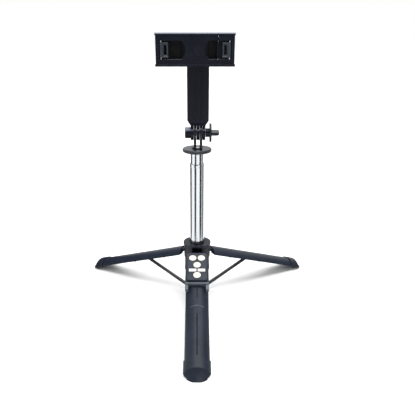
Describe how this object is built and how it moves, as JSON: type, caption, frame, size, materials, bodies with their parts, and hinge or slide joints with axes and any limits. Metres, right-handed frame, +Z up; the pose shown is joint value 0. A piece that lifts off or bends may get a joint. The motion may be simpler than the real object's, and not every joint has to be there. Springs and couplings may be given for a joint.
{
  "type": "selfie stick tripod",
  "caption": "Phone stick standing on a fold-out tripod, with a telescopic chrome column, tilting arm, sprung phone clamp and a detachable remote control on the front leg.",
  "frame": {"origin": "on the column's axis at ground level, under the open tripod", "axes": "+Z up along the column; -Y is the front, where the front leg points and the phone faces; +X is to the right seen from the front"},
  "size_m": [0.2688, 0.2364, 0.288],
  "materials": {
    "black_plastic": "fine moulded texture",
    "clamp_plastic": "fine moulded texture",
    "clamp_panel": "smooth",
    "leg_plastic": "fine moulded texture",
    "foot_rubber": "satin",
    "strut_metal": "black satin paint",
    "chrome_tube": "polished",
    "steel": "plain",
    "bush_plastic": "self-lubricating",
    "disc_plastic": "satin, knurled edge",
    "clip_plastic": "satin",
    "remote_plastic": "satin",
    "remote_back": "fine moulded texture",
    "button_rubber": "warm white, soft",
    "board": "solder mask",
    "cell_steel": "plain"
  },
  "bodies": {
    "collar": {"collar": "black_plastic", "slide_bush": "bush_plastic", "leg_hinge_pins": "steel"},
    "front_leg": {"front_leg": "leg_plastic", "front_foot": "foot_rubber", "front_strut_pin": "steel", "remote_clip": "clip_plastic"},
    "left_leg": {"left_leg": "leg_plastic", "left_foot": "foot_rubber", "left_strut_pin": "steel"},
    "right_leg": {"right_leg": "leg_plastic", "right_foot": "foot_rubber", "right_strut_pin": "steel"},
    "front_strut": {"front_strut": "strut_metal"},
    "left_strut": {"left_strut": "strut_metal"},
    "right_strut": {"right_strut": "strut_metal"},
    "column": {"foot_hub": "black_plastic", "hub_pins": "steel", "tube_1": "chrome_tube", "tube_1_ferrule": "chrome_tube"},
    "tube_2": {"tube_2": "chrome_tube", "tube_2_bush": "bush_plastic"},
    "tube_3": {"tube_3": "chrome_tube", "tube_3_bush": "bush_plastic"},
    "tube_4": {"tube_4": "chrome_tube", "tube_4_bush": "bush_plastic", "top_plug": "bush_plastic", "camera_stud": "steel"},
    "pan_head": {"knurled_disc": "disc_plastic", "fork_base": "black_plastic"},
    "arm": {"mount_arm": "clamp_plastic", "hex_nut": "steel", "pivot_screw": "steel", "pivot_washer": "bush_plastic"},
    "knob": {"thumb_knob": "black_plastic", "clamp_bolt": "steel"},
    "holder": {"holder_body": "clamp_plastic", "holder_cover": "clamp_plastic", "cover_screws": "steel", "pivot_cap": "clamp_panel", "left_claw_pin": "steel", "jaw_springs": "steel"},
    "jaw": {"jaw": "clamp_plastic", "guide_rods": "steel", "right_claw_pin": "steel"},
    "left_claw": {"left_claw": "clamp_panel"},
    "right_claw": {"right_claw": "clamp_panel"},
    "remote": {"remote_lower_shell": "remote_back", "remote_upper_shell": "remote_plastic", "remote_circuit_board": "board", "coin_cell": "cell_steel", "dome_switches": "steel"},
    "button_upper_left": {"button_upper_left": "button_rubber"},
    "button_upper_right": {"button_upper_right": "button_rubber"},
    "button_middle": {"button_middle": "button_rubber"},
    "button_lower": {"button_lower": "button_rubber"},
    "bar_button_left": {"bar_button_left": "button_rubber"},
    "bar_button_right": {"bar_button_right": "button_rubber"}
  },
  "joints": [
    {"name": "front_leg_fold", "type": "hinge", "parent": "collar", "child": "front_leg", "pos_m": [0, -0.0104, 0.0564], "axis": [1, 0, 0], "range_deg": [0, 69.4]},
    {"name": "left_leg_fold", "type": "hinge", "parent": "collar", "child": "left_leg", "pos_m": [-0.00901, 0.0052, 0.0564], "axis": [-0.5, -0.866, 0], "range_deg": [0, 69.4]},
    {"name": "right_leg_fold", "type": "hinge", "parent": "collar", "child": "right_leg", "pos_m": [0.00901, 0.0052, 0.0564], "axis": [-0.5, 0.866, 0], "range_deg": [0, 69.4]},
    {"name": "front_strut_swing", "type": "hinge", "parent": "front_leg", "child": "front_strut", "pos_m": [0, -0.07384, 0.03191], "axis": [1, 0, 0], "range_deg": [-138.8, 0]},
    {"name": "left_strut_swing", "type": "hinge", "parent": "left_leg", "child": "left_strut", "pos_m": [-0.06395, 0.03692, 0.03191], "axis": [-0.5, -0.866, 0], "range_deg": [-138.8, 0]},
    {"name": "right_strut_swing", "type": "hinge", "parent": "right_leg", "child": "right_strut", "pos_m": [0.06395, 0.03692, 0.03191], "axis": [-0.5, 0.866, 0], "range_deg": [-138.8, 0]},
    {"name": "column_hinge", "type": "hinge", "parent": "front_strut", "child": "column", "pos_m": [0, -0.0104, 0.00743], "axis": [1, 0, 0], "range_deg": [0, 69.4]},
    {"name": "tube_2_slide", "type": "slide", "parent": "column", "child": "tube_2", "axis": [0, 0, 1], "range_m": [-0.01, 0.1]},
    {"name": "tube_3_slide", "type": "slide", "parent": "tube_2", "child": "tube_3", "axis": [0, 0, 1], "range_m": [0, 0.1]},
    {"name": "tube_4_slide", "type": "slide", "parent": "tube_3", "child": "tube_4", "axis": [0, 0, 1], "range_m": [0, 0.09]},
    {"name": "head_swivel", "type": "hinge", "parent": "tube_4", "child": "pan_head", "pos_m": [0, 0, 0.1704], "axis": [0, 0, 1], "continuous": true},
    {"name": "head_tilt", "type": "hinge", "parent": "pan_head", "child": "arm", "pos_m": [0.001, 0, 0.1903], "axis": [1, 0, 0], "range_deg": [-90, 90]},
    {"name": "knob_turn", "type": "hinge", "parent": "arm", "child": "knob", "pos_m": [0.001, 0, 0.1903], "axis": [1, 0, 0], "continuous": true},
    {"name": "holder_rotate", "type": "hinge", "parent": "arm", "child": "holder", "pos_m": [0.001, -0.005, 0.2725], "axis": [0, 1, 0], "continuous": true},
    {"name": "jaw_slide", "type": "slide", "parent": "holder", "child": "jaw", "axis": [1, 0, 0], "range_m": [0, 0.035], "stiffness_N_per_m": 100, "springref_m": -0.02, "deforming": ["jaw_springs"]},
    {"name": "left_claw_flip", "type": "hinge", "parent": "holder", "child": "left_claw", "pos_m": [-0.0345, -0.0129, 0.2723], "axis": [0, 0, -1], "range_deg": [0, 90]},
    {"name": "right_claw_flip", "type": "hinge", "parent": "jaw", "child": "right_claw", "pos_m": [0.0312, -0.0129, 0.2723], "axis": [0, 0, 1], "range_deg": [0, 90]},
    {"name": "remote_lift", "type": "slide", "parent": "front_leg", "child": "remote", "axis": [0, -0.3518, 0.9361], "range_m": [0, 0.025]},
    {"name": "button_upper_left_press", "type": "slide", "parent": "remote", "child": "button_upper_left", "axis": [0, 0.3518, -0.9361], "range_m": [0, 0.0004], "stiffness_N_per_m": 800, "springref_m": -0.0004},
    {"name": "button_upper_right_press", "type": "slide", "parent": "remote", "child": "button_upper_right", "axis": [0, 0.3518, -0.9361], "range_m": [0, 0.0004], "stiffness_N_per_m": 800, "springref_m": -0.0004},
    {"name": "button_middle_press", "type": "slide", "parent": "remote", "child": "button_middle", "axis": [0, 0.3518, -0.9361], "range_m": [0, 0.0004], "stiffness_N_per_m": 800, "springref_m": -0.0004},
    {"name": "button_lower_press", "type": "slide", "parent": "remote", "child": "button_lower", "axis": [0, 0.3518, -0.9361], "range_m": [0, 0.0004], "stiffness_N_per_m": 800, "springref_m": -0.0004},
    {"name": "bar_button_left_press", "type": "slide", "parent": "remote", "child": "bar_button_left", "axis": [0, 0.3518, -0.9361], "range_m": [0, 0.0004], "stiffness_N_per_m": 800, "springref_m": -0.0004},
    {"name": "bar_button_right_press", "type": "slide", "parent": "remote", "child": "bar_button_right", "axis": [0, 0.3518, -0.9361], "range_m": [0, 0.0004], "stiffness_N_per_m": 800, "springref_m": -0.0004}
  ],
  "couplings": [
    {"joint": "left_leg_fold", "follows": "front_leg_fold", "ratio": 1},
    {"joint": "right_leg_fold", "follows": "front_leg_fold", "ratio": 1},
    {"joint": "front_strut_swing", "follows": "front_leg_fold", "ratio": -2},
    {"joint": "left_strut_swing", "follows": "front_leg_fold", "ratio": -2},
    {"joint": "right_strut_swing", "follows": "front_leg_fold", "ratio": -2},
    {"joint": "column_hinge", "follows": "front_leg_fold", "ratio": 1}
  ]
}
